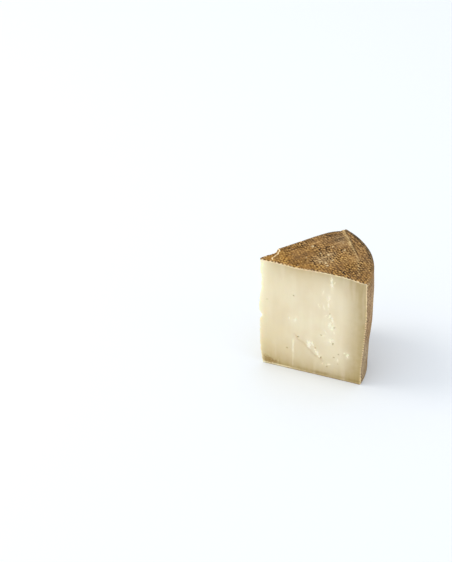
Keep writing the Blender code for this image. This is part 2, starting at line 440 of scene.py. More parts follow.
def line_mask(along, height):
    """How strong the wire's upright lines are, falling to 0 beside them."""
    mask = np.zeros_like(along)
    for at, low, high, strength, width in FRONT_LINES:
        wander = 0.5 * drift(height, 0, at, 9)
        on = smooth((height - low) / 2 + 0.5) * smooth((high - height) / 7)
        broken = smooth(0.8 + 1.2 * drift(height, 0, at + 3, 5))
        spread = width * (0.75 + 0.6 * smooth(0.5 + drift(height, 0, at + 8, 7)))
        fade = 0.3 + 0.7 * smooth((height - low) / (high - low) * 3 - 1.2)
        mask = np.maximum(mask, strength * on * fade * broken * hump(along - at - wander, spread))
    return mask


def crease(along, height):
    """How deep the front cut lies beside its crease, and how near the crease is."""
    run, above, length = from_line(along, height, CREASE_START, CREASE_END)
    share = run / length
    below = 2.2 * drift(along, height, 2.5, 8) - above
    ends = smooth(share * 5 + 0.7) * smooth((1 - share) * 3 + 1)
    depth = CREASE_STEP * ends * smooth(below / 1.6 + 0.5) * hump(np.maximum(below, 0), CREASE_REACH)
    return depth, ends * hump(below, 0.9)


def cut_relief(along, height, side):
    """How far a cut face lies under its plane."""
    depth = 0.14 + 0.14 * drift(along, height, side * 50, 24)
    if side == 0:
        depth = depth + crease(along, height)[0] - 0.28 * line_mask(along, height)
    mask = tear_mask(along, height, CUTS[side][2], side * 50)
    grit = drift(along, height, side * 50 + 5, 1.3) + 0.6 * drift(along, height, side * 50, 0.6)
    pull = 0.5 * drift(along, height + 3, side * 50 + 9, 3)
    return depth + mask * (0.18 + 0.8 * pull + 0.55 * grit)


# ---- the mesh


def edge_places(count, start, end):
    """Places between two ends, without the ends."""
    share = np.arange(1, count)[:, None] / count
    return np.array(start) + share * (np.array(end) - np.array(start))


def grid_in(width, height, step, seed, wanted):
    """Shaken grid places on four levels, kept where they are wanted."""
    draw = np.random.default_rng(seed)
    places = []
    for level in range(4):
        pitch = step / 2 ** level
        across, up = np.meshgrid(np.arange(1, width / pitch), np.arange(1, height / pitch))
        across, up = across.ravel(), up.ravel()
        if level:
            new = (across % 2 == 1) | (up % 2 == 1)
            across, up = across[new], up[new]
        spots = np.stack([across, up], 1) * pitch
        kept = spots[wanted(spots[:, 0], spots[:, 1], level)]
        places.append(kept + draw.uniform(-GRID_SHAKE, GRID_SHAKE, kept.shape) * pitch)
    return np.concatenate(places)


def cut_place(side, along):
    """The plan place on a cut at a distance from the point."""
    run = CUTS[side][0]
    return POINT_X + run[0] * along, POINT_Y + run[1] * along


def cut_wanted(side):
    """Which grid places a cut face keeps at each level."""
    _, _, tears, eyes = CUTS[side]

    def wanted(along, height, level):
        x, y = cut_place(side, along)
        wall = wall_radius(height) - np.hypot(x, y)
        top = top_height(x, y) - height
        edge = np.minimum(np.minimum(wall, top), height)
        inside = (wall > 0.95) & (top > 0.95) & (height > 0.45) & (along > 0.45)
        if level == 0:
            return inside
        near = np.minimum(edge, along * 0.55)
        if side == 0:
            near = np.minimum(near, 1 + 2.5 * (1 - crease(along, height)[1]) * 3)
        marks = nearest_tear(along, height, tears)
        for at, up, radius, _ in eyes:
            marks = np.minimum(marks, np.hypot(along - at, height - up) / radius / 1.2)
        if side == 0:
            for at, low, high, _, _ in FRONT_LINES[:2]:
                on = (height > low) & (height < high)
                marks = np.where(on, np.minimum(marks, np.abs(along - at) / 0.8), marks)
        close = {1: (near < 7) | (marks < 4), 2: (near < 2.8) | (marks < 2.8), 3: marks < 2.1}
        return inside & close[level]

    return wanted


def foot_wanted(x, y, level):
    """Which grid places the foot keeps: those on the first level."""
    x, y = x + POINT_X, y - 60
    front, back = cut_distances(x, y)
    inside = (front > 0.7) & (back > 0.7) & (np.hypot(x, y) < FOOT_RADIUS - FOOT_ROUND - 0.7)
    return inside & (level == 0)


def within(loop, places):
    """Which places lie inside a closed loop."""
    ends = np.roll(loop, -1, 0)
    x, y = places[:, 0, None], places[:, 1, None]
    spans = (loop[:, 1] > y) != (ends[:, 1] > y)
    rise = np.where(spans, ends[:, 1] - loop[:, 1], 1)
    crossing = loop[:, 0] + (y - loop[:, 1]) / rise * (ends[:, 0] - loop[:, 0])
    return (spans & (x < crossing)).sum(1) % 2 == 1


def fill(loop, inner):
    """Triangles over a closed loop and the places inside it."""
    places = np.concatenate([loop, inner])
    count = len(loop)
    edges = [(i, (i + 1) % count) for i in range(count)]
    made = delaunay_2d_cdt([Vector(place) for place in places.tolist()], edges, [], 0, 1e-7, True)
    names = [origin[0] for origin in made[3]]
    triangles = np.array([[names[i] for i in face] for face in made[2]])
    a, b, c = (places[triangles[:, i]] for i in range(3))
    area = (b[:, 0] - a[:, 0]) * (c[:, 1] - a[:, 1]) - (c[:, 0] - a[:, 0]) * (b[:, 1] - a[:, 1])
    triangles[area < 0] = triangles[area < 0][:, ::-1]
    outer = (triangles < count).all(1)
    flat = np.abs(area[outer]) < 1e-6
    outer[outer] = flat | ~within(loop, places[triangles[outer]].mean(1))
    return triangles[~outer]


class Surface:
    """The wedge's points and faces, with the patch that each belongs to."""

    def __init__(self):
        self.points, self.kinds, self.faces, self.patches = [], [], [], []
        self.count = 0

    def add(self, points, kind):
        """Adds points of one kind, and returns their numbers."""
        self.points.append(np.asarray(points, dtype=float))
        self.kinds.append(np.full(len(points), kind))
        self.count += len(points)
        return np.arange(self.count - len(points), self.count)

    def at(self, numbers):
        """The points that have these numbers."""
        return np.concatenate(self.points)[numbers]

    def cover(self, faces, patch):
        """Adds faces that belong to one patch."""
        self.faces.extend(np.asarray(faces).tolist())
        self.patches.extend([patch] * len(faces))


TOP, FOOT, SIDE, FRONT, BACK, EDGE = range(6)


def make_side(s):
    """The rind's side, as a grid of columns and layers."""
    column, layer = np.meshgrid(np.arange(COLUMNS + 1), np.arange(LAYERS + 1), indexing="ij")
    x, y, z = rind_point(column.ravel() / COLUMNS, layer.ravel())
    numbers = s.add(np.stack([x, y, z], 1), SIDE).reshape(COLUMNS + 1, LAYERS + 1)
    low = numbers[:-1, :-1], numbers[1:, :-1]
    high = numbers[1:, 1:], numbers[:-1, 1:]
    s.cover(np.stack([part.ravel() for part in low + high], 1), SIDE)
    return numbers


def make_top(s, side):
    """The top, as rings of triangles from the point out to the rim."""
    rim_x, rim_y, _ = rind_point(np.arange(COLUMNS + 1) / COLUMNS, np.full(COLUMNS + 1, LAYERS))
    numbers = []
    for ring in range(COLUMNS):
        share = np.arange(ring + 1) / max(ring, 1) * COLUMNS
        out = ring / COLUMNS
        x = POINT_X + out * (np.interp(share, np.arange(COLUMNS + 1), rim_x) - POINT_X)
        y = POINT_Y + out * (np.interp(share, np.arange(COLUMNS + 1), rim_y) - POINT_Y)
        numbers.append(s.add(np.stack([x, y, 0 * x], 1), TOP))
    start = numbers[0][0]
    heights = top_height(*s.at(slice(start, None))[:, :2].T)
    for ring, rows in enumerate(numbers):
        s.points[-COLUMNS + ring][:, 2] = heights[rows - start]
    numbers.append(side[:, LAYERS])
    for inner, outer in zip(numbers, numbers[1:]):
        s.cover(np.stack([inner, outer[:-1], outer[1:]], 1), TOP)
        s.cover(np.stack([inner[:-1], outer[1:-1], inner[1:]], 1), TOP)
    return numbers


def make_edges(s, side, top):
    """The point's foot and upright edge, and the cuts' edges along the foot."""
    peak = s.at(top[0][0])
    corner = s.add([(POINT_X, POINT_Y, 0)], EDGE)
    count = int(peak[2] / POINT_EDGE_STEP)
    upright = s.add(edge_places(count, (POINT_X, POINT_Y, 0), peak), EDGE)
    count = int(FOOT_RADIUS / FOOT_EDGE_STEP)
    feet = [s.add(edge_places(count, (POINT_X, POINT_Y, 0), end), FOOT)
            for end in s.at(side[[0, COLUMNS], 0])]
    return corner, upright, feet


def make_cut(s, loop, number):
    """One cut face, inside its loop."""
    places = s.at(loop)
    along = np.hypot(places[:, 0] - POINT_X, places[:, 1] - POINT_Y)
    flat = np.stack([along, places[:, 2]], 1)
    inner = grid_in(100, 110, CUT_GRID, number, cut_wanted(number))
    patch = (FRONT, BACK)[number]
    spots = np.stack([*cut_place(number, inner[:, 0]), inner[:, 1]], 1)
    numbers = np.concatenate([loop, s.add(spots, patch)])
    triangles = numbers[fill(flat, inner)]
    s.cover(triangles[:, ::-1] if number else triangles, patch)


def make_foot(s, side, corner, feet):
    """The foot, flat but for the cloth's marks."""
    loop = np.concatenate([corner, feet[0], side[:, 0], feet[1][::-1]])
    places = s.at(loop)
    inner = grid_in(100, 120, FOOT_GRID, 3, foot_wanted) + (POINT_X, -60)
    spots = np.column_stack([inner, np.zeros(len(inner))])
    numbers = np.concatenate([loop, s.add(spots, FOOT)])
    s.cover(numbers[fill(places[:, :2], inner)][:, ::-1], FOOT)


def make_surface():
    """The whole closed surface, before its relief."""
    s = Surface()
    side = make_side(s)
    top = make_top(s, side)
    corner, upright, feet = make_edges(s, side, top)
    for number, column in enumerate((0, -1)):
        # The loop runs out along the foot, up the rind, in along the top and down
        inward = [ring[column] for ring in top[-2::-1]]
        loop = np.concatenate([corner, feet[number], side[column], inward, upright[::-1]])
        make_cut(s, loop, number)
    make_foot(s, side, corner, feet)
    s.points = np.concatenate(s.points)
    s.kinds = np.concatenate(s.kinds)
    return s


def rind_shape(s):
    """How deep the rind's marks are, and what its material reads of them."""
    x, y, z = s.points.T
    on_side, on_top = s.on_side, s.on_top = s.kinds == SIDE, s.kinds == TOP
    reach, across = from_point(x, y)
    pillow, chance, strength = np.zeros_like(x), np.full_like(x, 0.5), np.zeros_like(x)
    for side in (True, False):
        here = on_side if side else ~on_side
        pillow[here], chance[here], strength[here] = imprint(x[here], y[here], z[here], side)
    torn = tear_share(reach, across)[0]
    torn = torn * on_top * smooth(across / 0.4)
    from_rim = BELLY_RADIUS - np.hypot(x, y)
    rim = np.where(on_side, smooth((z + 5.5 - top_height(x, y)) / 4), 0.7 * smooth((2.5 - from_rim) / 2.5))
    strength = strength * (1 - 0.75 * torn) * (1 - 0.4 * rim)
    creased = np.where(on_side, crease_lines(x, y, z), 0)
    grit = 0.5 + 0.5 * drift(x, y, z, 0.9, 6.6)
    depth = CLOTH_RELIEF * strength * (1 - pillow) + 0.07 * grit + CREASE_RELIEF * creased
    depth += torn * TORN_ROUGHNESS * (0.5 + drift(x, y, z, 1.7, 12.1))
    edge = np.where(on_top, lip_distance(x, y), 9)
    shown_edge = smooth((across - 0.1) / 0.2)
    depth -= LIP_RISE * hump(edge, 0.7) * shown_edge
    off, fold, past = fold_marks(x, y)
    pleated = smooth((y + 14) / 20) * smooth((off - 1) / 2) * smooth((from_rim - 2) / 2.5) * on_top
    wave = 0.5 + 0.5 * np.cos(2 * np.pi * (from_rim + 1.3 * drift(x, y, 0, 11)) / PLEAT_PITCH)
    depth += PLEAT_RELIEF * pleated * wave
    s.wave, s.pleated = wave, pleated
    creased = np.maximum(creased, 1.7 * hump(off - 2, 0.6) * fold * on_top)
    near_cut = smooth(1 - np.minimum(*cut_distances(x, y)) / 6) * (1 - smooth((z - 60) / 25))
    shown = np.where(on_side, strength * 0.6 + 0.42 * near_cut, strength)
    s.pillow, s.chance, s.strength, s.creased = pillow, chance, shown, creased
    s.reach, s.torn = reach, torn
    s.edge = np.clip(edge / np.maximum(shown_edge, 0.1), -9, 9)
    s.off, s.fold, s.past, s.from_rim = off, fold, past, from_rim
    return depth


def carve(s):
    """Moves the points by wear and relief."""
    depth = rind_shape(s)
    x, y, z = s.points.T.copy()
    s.base = s.points.copy()
    azimuth = np.arctan2(y, x)
    s.top = top_height(x, y)
    round_off = smooth((z - 0.3) / 2.5) * s.on_side
    rim_row = s.on_side & (s.from_rim > BELLY_RADIUS - RIM_RADIUS + RIM_ROUND - 0.01) & (z > 50)
    down = np.where(s.on_top | rim_row, depth, 0)
    inward = np.where(rim_row, 0, depth * round_off)
    up = np.where(s.kinds == FOOT, 0.6 * depth * smooth((FOOT_RADIUS - np.hypot(x, y)) / 5), 0)
    wear = edge_wear(z, s.reach)
    x = x + FRONT_ALONG[0] * wear - inward * np.cos(azimuth)
    y = y + FRONT_ALONG[1] * wear - inward * np.sin(azimuth)
    z = z - down + up
    for side, (_, out, _, _) in enumerate(CUTS):
        here = s.kinds == (FRONT, BACK)[side]
        hollow = cut_relief(s.reach[here], s.base[here, 2], side) * smooth(s.reach[here] / 2.5)
        x[here] -= out[0] * hollow
        y[here] -= out[1] * hollow
    s.points = np.stack([x, y, z], 1)


# ---- what the materials read


def blob(x, y, at, size):
    """1 at a patch's middle, falling to almost 0 at twice its size."""
    return hump(np.hypot((x - at[0]) / size[0], (y - at[1]) / size[1]), 1)


def rind_tints(s):
    """How much mould, gold and bloom the rind shows at each point."""
    x, y, z = s.base.T
    turn = np.arctan2(y, x) + HALF_ANGLE
    wide, blotch = drift(x, y, z, 24, 2.2), drift(x, y, z, 8, 21.7)
    upper = np.where(s.on_top, 1, smooth((z - s.top + 2.5) / 2.5))
    mould = blob(x, y, (70, 28), (8, 10)) + 0.45 * blob(x, y, (40, -7), (9, 6))
    mould += 1.1 * rise(s.from_rim, 5.5, 2) * rise(y, -24, -2)
    mould += 0.4 * blob(x, y, (80, -22), (10, 12))
    shade = rise(z, 62, 96) * rise(turn, 0.3, 0.55)
    low = 0.85 * shade * smooth(0.55 + 1.5 * wide + 0.7 * blotch) + 0.4 * rise(z, 16, 2)
    low += 0.5 * smooth(2 * drift(x, y, z, 13, 61.4) + 1.3 * drift(x, y, z, 4, 31.9) - 0.3)
    low += 0.55 * rise(z, 88, 98) * (1 - smooth(turn / 0.5))
    mould = mould * upper + low * (1 - upper)
    front, _ = cut_distances(x, y)
    gold = rise(s.reach, 30, 8) + 0.9 * smooth(1 - front / 18) + 0.8 * wide + 0.3 * blotch
    gold = gold * (1 - 0.85 * rise(s.reach, 55, 80) * smooth(1.5 - front / 16))
    side_gold = np.minimum(0.25 + 0.7 * drift(x, y, z, 19, 33.1) + 0.3 * blotch, 0.65)
    gold = gold * upper + (1 - upper) * side_gold
    bloom = 0.95 * blob(x, y, (50, -6), (7, 6.5)) + 0.5 * blob(x, y, (57, 3), (6, 4)) + 0.35 * wide
    near_cut = 1 - smooth(turn / 0.45)
    side_bloom = 0.6 * near_cut + 0.25 + 0.9 * drift(x, y, z, 18, 51.1) + 0.3 * blotch
    bloom = bloom * upper + (1 - upper) * side_bloom
    return np.clip((mould, gold, bloom), 0, 1)


def rind_umber(s):
    """How much browner the top is, along the front cut."""
    front, _ = cut_distances(s.base[:, 0], s.base[:, 1])
    return rise(front, 52, 14) * s.on_top


def rind_rim_shade(s):
    """How dark the painted shade is along the rim and the back cut's top edge."""
    x, y, z = s.base.T
    band = rise(s.from_rim, 5, 2.4) * rise(y, -30, -14)
    behind = smooth((2.4 - cut_distances(x, y)[1]) / 1.4) * rise(s.reach, 60, 74)
    on_edge = np.maximum(band, behind) * smooth((z - s.top + 6) / 3.5)
    return on_edge * smooth(0.75 + 1.3 * drift(x, y, z, 7, 44.4))


def rind_lines(s):
    """How strong the fold is, how far the torn edge is, and how torn the rind is."""
    x, y, z = s.base.T
    width = 0.8 + 0.9 * smooth(-s.past / 50)
    trail = rise(s.past, -12, -2) * (1 - rise(s.past, 20, 28)) * s.pillow
    bend = 0.2 * np.maximum(s.past, 0) + 0.6 * drift(x, y, CROWN_HEIGHT, 5, 8.8)
    fold = hump(s.off + bend, width) * np.maximum(s.fold, trail) * (z > 90)
    fold = fold * smooth(0.95 + 1.1 * drift(x, y, z, 2.2, 5.5) + 0.5 * smooth(-s.past / 40))
    return fold, s.edge, s.torn


def rind_wear(s):
    """How rubbed, streaked and flecked the rind is."""
    x, y, z = s.base.T
    front, back = cut_distances(x, y)
    edge = np.minimum(front, back)
    rim = hump(s.top - z - 1, 1.6) * hump(s.from_rim - 1.2, 2.2)
    rubbed = smooth(1 - edge / np.where(s.on_side, 2.3, 1.7))
    rubbed = rubbed * (1 - 0.5 * rise(z, 70, 85) * s.on_side)
    rubbed += 0.4 * rim * smooth(0.6 + 1.6 * drift(x, y, z, 6, 14.2))
    # Less rubbing shows under the painted shade along the rim
    rubbed = rubbed * (1 - 0.8 * rind_rim_shade(s))
    a, b = x * BACK_ALONG[0] + y * BACK_ALONG[1], y * BACK_ALONG[0] - x * BACK_ALONG[1]
    streak = drift(a / 7, b, 0, 2, 4.4) * smooth(front / 30) * s.on_top
    streak = np.where(s.pleated > 0.05, s.pleated * (0.55 - 1.1 * s.wave), streak) * (1 - s.torn)
    fleck = np.zeros_like(x)
    rough = 0.6 * drift(x, y, z, 1.2, 71)
    for at_x, at_y, radius in TOP_FLECKS:
        near = np.hypot(x - at_x, y - at_y) / radius
        fleck = np.maximum(fleck, smooth(1.6 - near + rough) * (z > 96))
    at_x, at_y, at_z, radius = CORNER_FLECK
    near = np.sqrt((x - at_x) ** 2 + (y - at_y) ** 2 + (z - at_z) ** 2) / radius
    fleck = np.maximum(fleck, smooth(1.4 - near + 2 * rough))
    return np.clip(rubbed, 0, 1), streak, fleck


def paste_marks(s):
    """How strong torn flecks, painted shade along the crease and pale lines are."""
    along, height = s.reach, s.base[:, 2]
    front = s.kinds != BACK
    torn, haze = (np.where(front, *(mask(along, height, cut[2], side * 50)
                                    for side, cut in enumerate(CUTS)))
                  for mask in (tear_mask, halo_mask))
    # Painted shade along the front cut's crease
    painted_shade = np.where(front, crease(along, height)[1], 0)
    pale = np.maximum(front * line_mask(along, height), 0.35 * haze)
    return torn, painted_shade, pale


def add_object(name, data):
    """Adds an object to the scene."""
    made = bpy.data.objects.new(name, data)
    bpy.context.scene.collection.objects.link(made)
    return made


def put(mesh, name, *values):
    """Stores three values for each point."""
    vectors = np.stack(np.broadcast_arrays(*values), 1).astype(np.float32)
    mesh.attributes.new(name, "FLOAT_VECTOR", "POINT").data.foreach_set("vector", vectors.ravel())


def make_wedge(rind, paste):
    """The wedge as one closed mesh."""
    s = make_surface()
    carve(s)
    low, high = s.base.min(0), s.base.max(0)
    centre = np.array([high[0] - CAD_HIGH[0] / MM, (low[1] + high[1]) / 2, 0])
    mesh = bpy.data.meshes.new("wedge")
    mesh.from_pydata(((s.points - centre) * MM).tolist(), [], s.faces)
    x, y, z = s.base.T
    put(mesh, "rind_form", s.pillow, s.chance, s.strength)
    put(mesh, "rind_tint", *rind_tints(s))
    put(mesh, "rind_line", *rind_lines(s))
    put(mesh, "rind_wear", *rind_wear(s))
    put(mesh, "rind_crease", s.creased, rind_umber(s), rind_rim_shade(s))
    put(mesh, "paste_depth", wall_radius(z) - np.hypot(x, y), z, s.top - z)
    put(mesh, "paste_mark", *paste_marks(s))
    put(mesh, "paste_place", s.reach, z, BACK_CUT * (s.kinds == BACK))
    mesh.materials.append(rind)
    mesh.materials.append(paste)
    cut = np.isin(s.patches, (FRONT, BACK)).astype(np.int32)
    mesh.polygons.foreach_set("material_index", cut)
    return add_object("wedge", mesh), centre


def make_eye(bm, spot, normal, radius, lean, number, depths):
    """Adds a pinhole's cutter, an uneven ball, and notes its depths."""
    made = bmesh.ops.create_icosphere(bm, subdivisions=3, radius=1)
    out = Vector(normal)
    across = Vector((-out.y, out.x, 0))
    turn = math.radians(lean)
    long = across * math.cos(turn) + Vector((0, 0, 1)) * math.sin(turn)
    short = out.cross(long)
    centre = Vector(spot) - out * radius * 0.35
    for vertex in made["verts"]:
        p = vertex.co * (1 + 0.45 * noise.noise(vertex.co * 1.2 + Vector((number * 5.1, 0, 0))))
        depths.append(radius * (0.35 - p.z))
        vertex.co = (centre + (long * p.x * 1.35 + short * p.y * 0.8 + out * p.z) * radius) * MM


def make_eyes(mesh, middle):
    """All pinholes' cutters, and how deep each point is."""
    bm = bmesh.new()
    number, depths = 0, []
    for side, (_, out, _, eyes) in enumerate(CUTS):
        for at, up, radius, lean in eyes:
            x, y = cut_place(side, at)
            make_eye(bm, (x - middle[0], y - middle[1], up), out, radius, lean, number, depths)
            number += 1
    bm.to_mesh(mesh)
    bm.free()
    return depths


def cut_eyes(wedge, middle):
    """Cuts the pinholes into the two cut faces."""
    mesh = bpy.data.meshes.new("eyes")
    depths = make_eyes(mesh, middle)
    # Painted shade: the pinholes' walls darken with depth
    dark = smooth((np.array(depths) - 0.15) / 0.6)
    none = 0 * dark
    put(mesh, "paste_depth", none + EYE_DEPTH, EYE_DEPTH, EYE_DEPTH)
    put(mesh, "paste_mark", none, dark, none)
    put(mesh, "paste_place", none + EYE_DEPTH, none, none)
    for material in wedge.data.materials:
        mesh.materials.append(material)
    mesh.polygons.foreach_set("material_index", np.ones(len(mesh.polygons), dtype=np.int32))
    cutter = add_object("eyes", mesh)
    cut = wedge.modifiers.new("eyes", "BOOLEAN")
    cut.solver = "MANIFOLD"
    cut.object = cutter
    depsgraph = bpy.context.evaluated_depsgraph_get()
    result = bpy.data.meshes.new_from_object(wedge.evaluated_get(depsgraph))
    wedge.modifiers.clear()
    old = wedge.data
    wedge.data = result
    bpy.data.objects.remove(cutter)
    for used in (old, mesh):
        bpy.data.meshes.remove(used)


def sharpen(wedge):
    """Shades the wedge smooth, but crisp round the cuts and pinholes."""
    bm = bmesh.new()
    bm.from_mesh(wedge.data)
    for face in bm.faces:
        face.smooth = True
    for edge in bm.edges:
        one, two = edge.link_faces
        both_paste = one.material_index == 1 and two.material_index == 1
        edge.smooth = one.material_index == two.material_index and not (
            both_paste and edge.calc_face_angle(0) > SHARP_ANGLE
        )
    bm.to_mesh(wedge.data)
    bm.free()


# ---- materials


def tone(red, green, blue):
    """A screen colour, 0 to 255, as a linear one."""
    def linear(value):
        value /= 255
        return value / 12.92 if value <= 0.04045 else ((value + 0.055) / 1.055) ** 2.4
    return (linear(red), linear(green), linear(blue), 1)


class Value:
    """A node's output, to reckon with."""

    def __init__(self, graph, socket):
        self.graph, self.socket = graph, socket

    def __add__(self, other):
        return self.graph.math("ADD", self, other)

    def __sub__(self, other):
        return self.graph.math("SUBTRACT", self, other)

    def __rsub__(self, other):
        return self.graph.math("SUBTRACT", other, self)

    def __mul__(self, other):
        return self.graph.math("MULTIPLY", self, other)

    def ramp(self, low, high, to_low=0, to_high=1):
        """Carries low..high to to_low..to_high by a smooth step."""
        inputs = {"Value": self, "From Min": low, "From Max": high, "To Min": to_low, "To Max": to_high}
        return self.graph.node("MapRange", inputs, interpolation_type="SMOOTHSTEP")

    def near(self, reach):
        """1 at 0, falling away over a reach."""
        return self.graph.math("EXPONENT", self * (-1 / reach))


class Graph:
    """A material's nodes, and its colour so far."""

    def __init__(self, name):
        self.material = bpy.data.materials.new(name)
        self.material.use_nodes = True
        self.tree = self.material.node_tree
        where = self.node("TexCoord", (), "Object")
        self.place = self.stretched(where, 1 / MM, 1 / MM, 1 / MM)
        self.colour = None

    def fill(self, socket, value):
        if isinstance(value, Value):
            self.tree.links.new(value.socket, socket)
        else:
            socket.default_value = value

    def node(self, kind, inputs=(), output=0, **settings):
        made = self.tree.nodes.new("ShaderNode" + kind)
        for name, value in settings.items():
            setattr(made, name, value)
        for name, value in dict(inputs).items():
            self.fill(made.inputs[name], value)
        return Value(self, made.outputs[output])

    def math(self, operation, *values):
        return self.node("Math", dict(enumerate(values)), operation=operation)

    def stretched(self, vector, *sizes):
        """A vector with each part times a size."""
        return self.node("VectorMath", {0: vector, 1: sizes}, operation="MULTIPLY")

    def stored(self, name):
        """The vector that the points keep under a name."""
        return self.node("Attribute", (), "Vector", attribute_name=name)

    def parts(self, vector):
        separated = self.node("SeparateXYZ", {"Vector": vector}).socket.node
        return [Value(self, output) for output in separated.outputs]

    def noise(self, scale, detail, roughness, vector=None):
        """Noise over millimetres, or over a vector."""
        inputs = {"Scale": scale, "Detail": detail, "Roughness": roughness}
        return self.node("TexNoise", {"Vector": vector or self.place, **inputs})

    def mix(self, share, first, second, blend="MIX"):
        """Two colours, mixed by a share."""
        inputs = {0: share, 6: first, 7: second}
        return self.node("Mix", inputs, 2, data_type="RGBA", blend_type=blend)

    def cover(self, share, over, blend="MIX"):
        """Lays a colour on, to a share."""
        self.colour = self.mix(share, self.colour, over, blend)

    def coat(self, share, red, green, blue):
        """Lays a screen colour on, to a share."""
        self.cover(share, tone(red, green, blue))

    def tint(self, share, red, green, blue):
        """Multiplies the colour, to a share."""
        self.cover(share, (red, green, blue, 1), "MULTIPLY")

    def bump(self, height, strength, distance, **under):
        inputs = {"Height": height, "Strength": strength, "Distance": distance, **under}
        return self.node("Bump", inputs)

    def finish(self, inputs):
        """Fills in the shader, and returns the material."""
        shader = self.tree.nodes["Principled BSDF"]
        for name, value in {"Base Color": self.colour, **inputs}.items():
            self.fill(shader.inputs[name], value)
        return self.material


def rind_ground(g):
    """Pale pillows between the threads' dark grooves, browner in patches."""
    g.pillow, chance, strength = g.parts(g.stored("rind_form"))
    g.rubbed, streak, g.fleck = g.parts(g.stored("rind_wear"))
    height = chance * 0.3 + (g.pillow - 0.15) + (g.fine * 1.7 - 0.87) + (g.grain * 0.6 - 0.3)
    g.height = g.mix(strength, streak * 0.6 + 0.44, height) + (g.fine * 0.5 - 0.25)
    groove = g.mix(g.gold, tone(38, 23, 4), tone(80, 50, 12))
    body = g.mix(g.gold, tone(138, 101, 54), tone(166, 122, 60))
    crest = g.mix(g.gold, tone(218, 175, 114), tone(222, 180, 108))
    g.colour = g.mix(g.height.ramp(-0.05, 0.4), groove, body)
    g.cover(g.height.ramp(0.4, 0.9), crest)
    g.cover(1, g.blotch.ramp(0.36, 0.64, 0.76, 1.2), "MULTIPLY")
    g.tint(g.umber, 0.93, 0.88, 0.68)
    wide = g.noise(0.07, 3, 0.6)
    g.coat((wide + g.fine * 0.2).ramp(0.45, 0.75, 0, 0.3), 160, 122, 82)


def rind_dust(g, mould, bloom, rim_shade):
    """Grey mould, pale bloom, painted shade along the rim and light specks."""
    grey = g.mix(g.height.ramp(0, 0.9), tone(58, 45, 28), tone(150, 123, 88))
    spotted = g.fine * 1.9 + (mould - 0.95) + (g.blotch * 1.2 - 0.6) + (g.grain * 0.8 - 0.4)
    g.cover(spotted.ramp(0.25, 0.9, 0, 0.75), grey)
    powder = g.mix(g.height.ramp(0, 0.9), tone(108, 79, 46), tone(188, 152, 108))
    g.cover(bloom * 0.45, powder)
    g.coat(bloom * (g.height + g.grain).ramp(0.55, 1.3, 0, 0.8), 214, 184, 136)
    # Painted shade along the rim
    g.tint(rim_shade, 0.50, 0.52, 0.50)
    g.coat(g.noise(0.5, 1, 0.5).ramp(0.71, 0.76, 0, 0.6), 216, 186, 146)


def rind_marks(g, creased):
    """The torn patch and its lip, creases, the fold, rubbed edges and flecks."""
    fold, edge, patch = g.parts(g.stored("rind_line"))
    up = g.parts(g.place)[2]
    bared = g.mix(g.fine.ramp(0.35, 0.65), tone(112, 74, 26), tone(196, 146, 74))
    g.cover(patch * 0.85, bared)
    g.coat(creased * 0.5, 74, 50, 24)
    g.coat(fold * (g.fine + g.height * 0.5).ramp(0.45, 0.95, 0.15, 0.9), 230, 198, 140)
    g.tint(up.ramp(100, 90), 1, 1.01, 1.17)
    g.tint(up.ramp(64, 16), 0.93, 1.02, 1.10)
    g.tint(1, 0.926, 0.926, 0.926)
    g.coat(g.rubbed * g.pillow.ramp(0.5, 0.15, 0, 0.62), 76, 54, 30)
    g.coat(g.rubbed * (g.grain * 0.4 + g.pillow).ramp(0.45, 0.9, 0, 0.8), 232, 204, 158)
    fleck = g.fleck * g.grain.ramp(0.4, 0.57, 0.4, 1.1)
    g.coat(fleck.ramp(0.3, 0.8, 0, 0.88), 233, 208, 160)
    g.coat(g.math("ABSOLUTE", edge - 0.05).ramp(0.62, 0.3), 252, 224, 174)


def make_rind():
    """Golden-brown rind that shows the cloth, with mould and bloom."""
    g = Graph("rind")
    g.fine = g.noise(0.6, 3, 0.65)
    g.grain = g.noise(2.4, 2, 0.6)
    g.blotch = g.noise(0.15, 3, 0.65)
    mould, g.gold, bloom = g.parts(g.stored("rind_tint"))
    creased, g.umber, rim_shade = g.parts(g.stored("rind_crease"))
    rind_ground(g)
    rind_dust(g, mould, bloom, rim_shade)
    rind_marks(g, creased)
    normal = g.bump(g.fine * 0.8 + g.grain, 0.6, 0.0003)
    rough = g.fine.ramp(0.3, 0.7, 0.72, 0.92)
    return g.finish({"Roughness": rough, "Specular IOR Level": 0.12, "Normal": normal})


def paste_dryness_and_shade(g):
    """Ivory paste that darkens towards the rind, the foot and the top, partly as the drier paste's own
    colour and partly as painted shade.
    """
    g.colour = g.mix(g.noise(0.04, 2, 0.5).ramp(0.35, 0.65), tone(241, 226, 193), tone(246, 234, 203))
    uneven = g.middle * 0.4 + 0.8
    # Partly drier paste and partly painted shade, with painted contact shade where the cut meets the floor
    dry_and_shaded_foot = g.foot.near(11) * 0.85 + g.foot.near(22) * g.along.near(22) * 0.6
    dry_and_shaded_foot = (dry_and_shaded_foot + g.foot.near(26) * g.along.near(9) * 0.5) * uneven
    dry_and_shaded_side = g.side.ramp(26, -2, 0, 0.85) * uneven
    wet_and_unshaded = (1 - dry_and_shaded_side) * (1 - dry_and_shaded_foot) * (1 - g.top.near(10) * 0.65)
    g.coat(1 - wet_and_unshaded, 170, 142, 76)
    g.coat(g.top.near(8) * g.side.ramp(34, 6, 0, 0.5), 166, 136, 76)
    low = g.foot.ramp(1.2, 2.2) * g.foot.ramp(5.2, 2.6)
    g.coat(low * g.noise(0.12, 2, 0.6).ramp(0.4, 0.6, 0.15, 0.7), 156, 130, 68)


